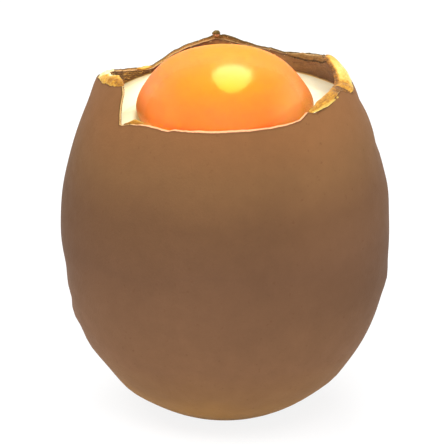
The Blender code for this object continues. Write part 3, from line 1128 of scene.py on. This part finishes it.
rim_crumbs = grown(
    "rim_crumbs", eggshell.data, crumb_tree(), Density=4.0e6, Size=0.11 * MM, Seed=7, Crumb=rim_crumb_finish()
)
put_points(rim_crumbs, points_of(rim_crumbs))

# %% [markdown]
# ## Floor, light and camera
#
# The floor is plain and pale. So that the backdrop stays white without more light on the egg, the floor
# and the sky look different to the camera than to the light: Light Path tells which ray is asking. The
# camera and shiny surfaces see white. To the light the floor is duller, because much light thrown up from
# below would wash out the shell, and the sky is plain and soft.


# %% Floor
def seen(tree):
    """1 for rays from the camera, and for those that a shiny or clear surface sends on."""
    kinds = ("Is Camera Ray", "Is Glossy Ray", "Is Transmission Ray")
    camera, glossy, clear = (out_of(tree, "ShaderNodeLightPath", output=kind) for kind in kinds)
    return camera.math("MAXIMUM", glossy).math("MAXIMUM", clear)


def floor_finish():
    material, shader, place = new_finish(
        "pale_floor", Specular_IOR_Level=0.0, Roughness=0.9, Emission_Color=(1, 1, 1, 1)
    )
    look = seen(place.tree)
    pale = ramp(noise(place, scale=0.06), (0.3, 209, 209, 208), (0.7, 212, 212, 211))
    wire(shader, Base_Color=mixed(look, pale, (111, 111, 111)), Emission_Strength=look * 0.86)
    return material


bpy.ops.mesh.primitive_circle_add(vertices=128, radius=6, fill_type="NGON", location=(0, 0, 0))
floor = bpy.context.object
floor.name = "floor"
floor.data.transform(Matrix.Translation((0, 0, -0.02 * MM)))
floor.data.materials.append(floor_finish())

# %% [markdown]
# One oval softbox stands above and a little behind. It makes the soft spot on the yolk. Two fill lamps
# high in front reach in under the leaning wall and onto the white, and nothing mirrors them. The sky gives
# the rest, a little brighter on the camera's side.

# %% Lamps
LAMPS_FAR = 0.6  # from the opening of the egg


def softbox(name, way, wide, deep, energy, mirrored=True):
    """A lamp that faces the egg from the way given; one that isn't mirrored gives no highlight."""
    lamp = bpy.data.lights.new(name, "AREA")
    lamp.shape, lamp.size, lamp.size_y = "ELLIPSE", wide, deep
    lamp.energy = energy
    held = in_scene(name, lamp)
    way = Vector(way).normalized()
    held.location = Vector((0, 0, 45 * MM)) + way * LAMPS_FAR
    side = Vector((0, 1, 0)).cross(way).normalized()
    held.rotation_euler = Matrix((side, way.cross(side), way)).transposed().to_euler()
    held.visible_camera = False
    held.visible_glossy = mirrored
    return held


# %% Sky
def sky():
    world = bpy.data.worlds.new("studio")
    bpy.context.scene.world = world
    world.use_nodes = True
    tree = world.node_tree
    background = tree.nodes["Background"]
    way = out_of(tree, "ShaderNodeTexCoord", output="Generated")
    toward = way.vector("DOT_PRODUCT", (-0.12, -0.64, 0.74))
    level = fade(toward, -0.3, 0.9) * 0.24 + 0.41
    look = seen(tree)
    strength = look + level * look.from_number(1.0)
    tree.links.new(strength.socket, background.inputs["Strength"])
    background.inputs["Color"].default_value = (1, 1, 1, 1)


# %% Light the egg
softbox("softbox", (0.085, 0.35, 0.93), 0.265, 0.66, 2.4)
softbox("fill_left", (-0.38, -0.42, 0.82), 0.3, 0.3, 2.0, mirrored=False)
softbox("fill_right", (0.12, -0.58, 0.8), 0.3, 0.3, 1.9, mirrored=False)
sky()
print(f"{len(bpy.data.lights)} lamps and the sky light the egg")

# %% [markdown]
# The camera looks down by 22 degrees from far off through a long lens, so that the egg shows almost
# without perspective.

# %% Camera
ELEVATION = math.radians(22)
LENS, SENSOR = 1200.0, 36.0
SHOWN = 59.4383 * MM  # from the lowest to the highest thing that the camera shows
AWAY = SHOWN * LENS / SENSOR
camera = in_scene("camera", bpy.data.cameras.new("camera"))
aim = (-0.656 * MM, 0.0, 26.44 * MM)
camera.location = (aim[0], -AWAY * math.cos(ELEVATION), aim[2] + AWAY * math.sin(ELEVATION))
camera.rotation_euler = (math.pi / 2 - ELEVATION, 0, 0)
camera.data.lens = LENS
camera.data.clip_end = 20
camera.data.dof.use_dof = False
bpy.context.scene.camera = camera
bpy.context.scene.view_settings.view_transform = "Standard"
print(f"The camera stands {AWAY:.2f} m away")

# %% [markdown]
# ## Pieces on one body
#
# Every piece rides on the one body, and the CAD solid that a piece stands for is hidden.

# %% Pieces, bodies and slots
CURLS = ("curl_right", "curl_front", "curl_left", "curl_corner")
PIECES = [(eggshell, "shell", "shell"), (egg_white, "white", "white"), (egg_yolk, "yolk", "yolk")]
PIECES += [(piece, "skin", node) for piece, node in zip(strips, CURLS)]
PIECES += [(tip_crumb, "crumb", "crumb_peak")]
PIECES += [(piece, "skin", None) for piece in more_strips] + [(rim_crumbs, "crumb", None)]
for piece, slot, node in PIECES:
    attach(piece, "root")
    if node:
        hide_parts(node)
print(f"{len(PIECES)} pieces stand for {len(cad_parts)} CAD solids")
